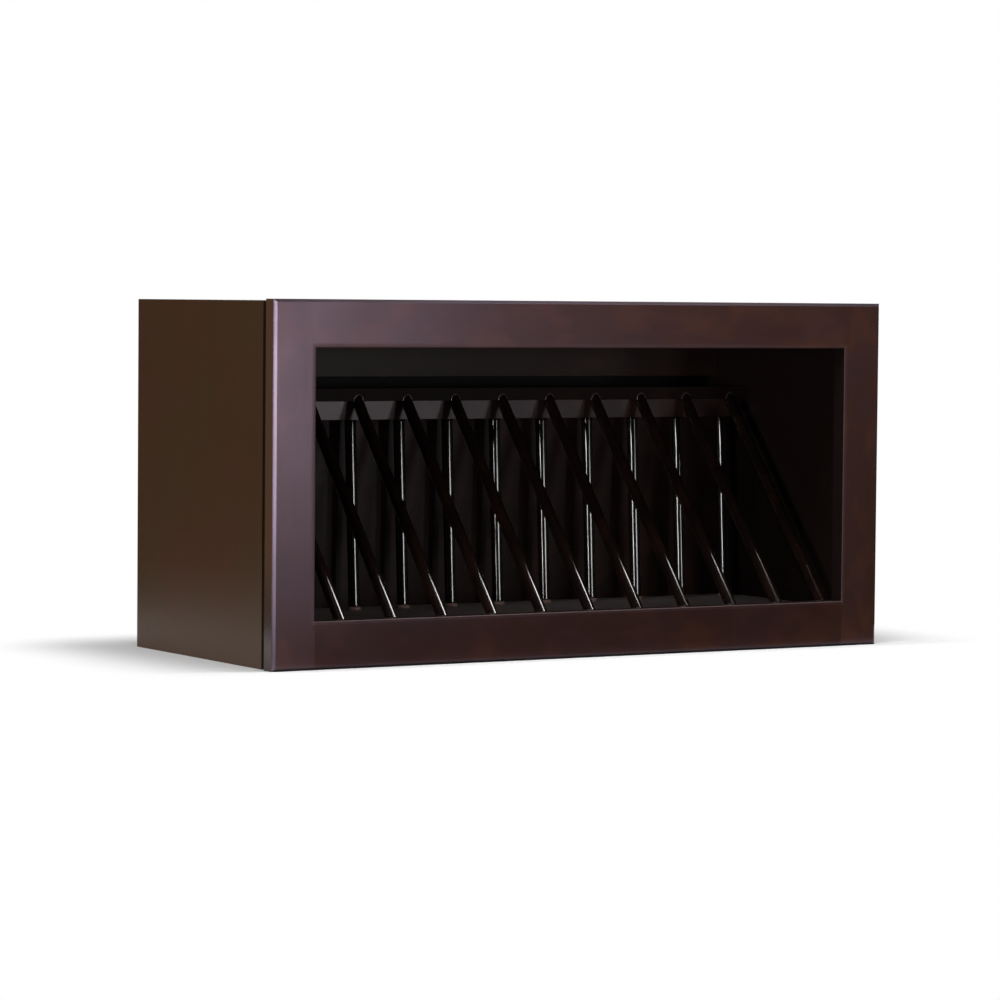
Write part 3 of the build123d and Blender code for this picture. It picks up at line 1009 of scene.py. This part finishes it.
# %% Draw a dowel from rings
SIDES = 48
BEAD = [(0.0, 0.9), (0.5, 1.3), (1.2, 1.5), (1.9, 1.35), (2.6, 0.95), (3.2, 0.5), (4.0, 0.1),
        (5.0, 0.0)]         # heights and how far it stands out, in millimetres
HEAD_BEAD_SHARE = 0.45   # the bead at an upright's head, as a share of the one at its foot
HIDDEN = 0.1 * MM        # how far below a board's face the plain rod goes on


def ring_rod(name, rings):
    """Draws a rod up through rings, each a middle, a half width along X and one along Y."""
    bpy.ops.object.select_all(action="DESELECT")
    middle, wide, deep = rings[0]
    bpy.ops.mesh.primitive_circle_add(vertices=SIDES, radius=wide, fill_type="NGON", location=middle)
    piece = bpy.context.active_object
    piece.name = piece.data.name = name
    piece.scale.y = deep / wide
    bpy.ops.object.transform_apply(location=True, rotation=True, scale=True)
    bpy.ops.object.mode_set(mode="EDIT")
    bpy.ops.mesh.select_all(action="SELECT")
    for (before, wide0, deep0), (middle, wide1, deep1) in zip(rings, rings[1:]):
        bpy.ops.mesh.extrude_region_move(TRANSFORM_OT_translate={"value": middle - before})
        bpy.ops.transform.resize(value=(wide1 / wide0, deep1 / deep0, 1), center_override=middle)
    bpy.ops.mesh.select_all(action="SELECT")
    bpy.ops.mesh.normals_make_consistent(inside=False)
    bpy.ops.object.mode_set(mode="OBJECT")
    return piece


def level_rings(dowel, heights):
    """Level rings round a leaning dowel, from heights and how far each stands out."""
    deep = dowel.radius / math.cos(dowel.lean)
    return [(dowel.at(z), dowel.radius + out, deep + out) for z, out in heights]


def foot_heights(dowel):
    """The plain rod in its hole, and the bead where it comes out of the base board."""
    bead = [(BASE_TOP + up * MM, out * MM) for up, out in BEAD]
    return [(dowel.foot.z, 0.0), (BASE_TOP - HIDDEN, 0.0)] + bead


def upright_rings(dowel):
    """An upright dowel, with a smaller bead upside down under the apron."""
    thin = HEAD_BEAD_SHARE * MM
    heights = foot_heights(dowel)
    heights += [(APRON_LOW.z - up * thin, out * thin) for up, out in reversed(BEAD)]
    heights += [(APRON_LOW.z + HIDDEN, 0.0), (dowel.head.z, 0.0)]
    return level_rings(dowel, heights)


def slanted_rings(dowel):
    """A slanted dowel, plain at its head."""
    return level_rings(dowel, foot_heights(dowel) + [(dowel.head.z, 0.0)])


def copies(piece, kind, dowels, finish):
    """Sets a dowel in each of the other places, each copy with its own mesh."""
    for number, dowel in enumerate(dowels, 1):
        made = piece
        if number > 1:
            only(piece)
            shift = dowel.foot - dowels[0].foot
            bpy.ops.object.duplicate_move(TRANSFORM_OT_translate={"value": shift})
            made = bpy.context.active_object
            bpy.ops.object.transform_apply(location=True, rotation=True, scale=True)
        made.name = made.data.name = f"{kind}_lacquered_{number:02d}"
        hand_over(made, finish, "dowel_lacquer", f"{kind}_dowel_{number:02d}")


upright = ring_rod("upright", upright_rings(uprights[0]))
smooth(upright, ROD_ANGLE)
copies(upright, "upright", uprights, dowel_finish)
print("upright", len(upright.data.polygons), "faces")

# %% [markdown]
# A slanted dowel enters the rail through its front edge, so its outline on the rail's face is an
# arch: the upper part of an ellipse. The bead there is a ring pressed to that ellipse, cut off at
# the rail's lower edge and joined to the rod.

# %% Slanted dowels with their arch beads
BEAD_WIRE = 0.75 * MM    # half the thickness of the ring
RING_SIDES = 64
WIRE_SIDES = 12


def arch_bead(dowel):
    """The bead round a slanted dowel where it leaves the rail's front face."""
    slope = math.sin(dowel.lean)
    half_height = dowel.radius / slope
    middle = dowel.at(RAIL_LOW.z)
    sink = (middle.y - RAIL_LOW.y) * math.cos(dowel.lean) / slope
    place = Vector((middle.x, RAIL_LOW.y, RAIL_LOW.z - sink))
    bpy.ops.object.select_all(action="DESELECT")
    bpy.ops.mesh.primitive_torus_add(
        location=place, rotation=(math.pi / 2, 0, 0), major_radius=dowel.radius, minor_radius=BEAD_WIRE,
        major_segments=RING_SIDES, minor_segments=WIRE_SIDES)
    ring = bpy.context.active_object
    ring.scale = (1, half_height / dowel.radius, 1)
    bpy.ops.object.transform_apply(location=True, rotation=True, scale=True)
    bpy.ops.object.mode_set(mode="EDIT")
    bpy.ops.mesh.select_all(action="SELECT")
    bpy.ops.mesh.bisect(plane_co=(0, 0, RAIL_LOW.z + HIDDEN), plane_no=(0, 0, -1), use_fill=True,
                        clear_outer=True)
    bpy.ops.object.mode_set(mode="OBJECT")
    return ring


slanted = ring_rod("slanted", slanted_rings(slants[0]))
carve(slanted, [arch_bead(slants[0])], "UNION")
smooth(slanted, ROD_ANGLE)
copies(slanted, "slanted", slants, dowel_finish)
print("slanted", len(slanted.data.polygons), "faces")

# %% [markdown]
# ## Fasteners
# Screws and staples hold the cabinet together from behind. They are too small in the picture to
# need more shape than the measured model gives them, so they keep it and only get their metal:
# steel under a dull coat of zinc, yellowish on the screws and grey on the staples.

# %% Steel of the fasteners
SPECKS_PER_METRE = 900.0
SPECK_DEPTH = 0.2 * MM
DARK_SPECK = 0.7         # how light a dark speck is beside a light one
METAL_SHARE = 0.6        # a dull zinc coat mirrors less than bare metal


def steel(name, tint, rough):
    """Zinc-coated steel with fine specks."""
    material, start = new_finish(name)
    speck = start.node("ShaderNodeTexNoise", None, {
        "Vector": place_of(start), "Scale": SPECKS_PER_METRE, "Detail": 3.0})
    colour = speck.blend([channel * DARK_SPECK for channel in tint], tint)
    bump = start.node("ShaderNodeBump", None, {
        "Strength": 0.1, "Distance": SPECK_DEPTH, "Height": speck})
    metal = start.node("ShaderNodeBsdfPrincipled", None, {
        "Base Color": colour, "Metallic": METAL_SHARE, "Roughness": rough + (speck - 0.5) * 0.15,
        "Normal": bump})
    start.node("ShaderNodeOutputMaterial", None, {"Surface": metal})
    print(name, len(material.node_tree.nodes), "shader nodes")
    return material


zinc_finish = steel("screw_zinc", (0.62, 0.60, 0.52), 0.35)
wire_finish = steel("staple_galvanised", (0.66, 0.65, 0.62), 0.42)

# %% Steel on the measured nodes
FASTENERS = {"frame_pocket_screws": zinc_finish, "hanging_rail_screws": zinc_finish,
             "rack_screws": zinc_finish, "rear_sheet_staples": wire_finish}
for node_name, metal in FASTENERS.items():
    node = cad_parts[node_name]
    node.data.materials.clear()
    node.data.materials.append(metal)
    print(node_name, metal.name)

# %% [markdown]
# ## The picture's colours
# The view shows the colours as they are rendered, without a film curve.

# %% Show the colours as rendered
bpy.context.scene.view_settings.view_transform = "Standard"
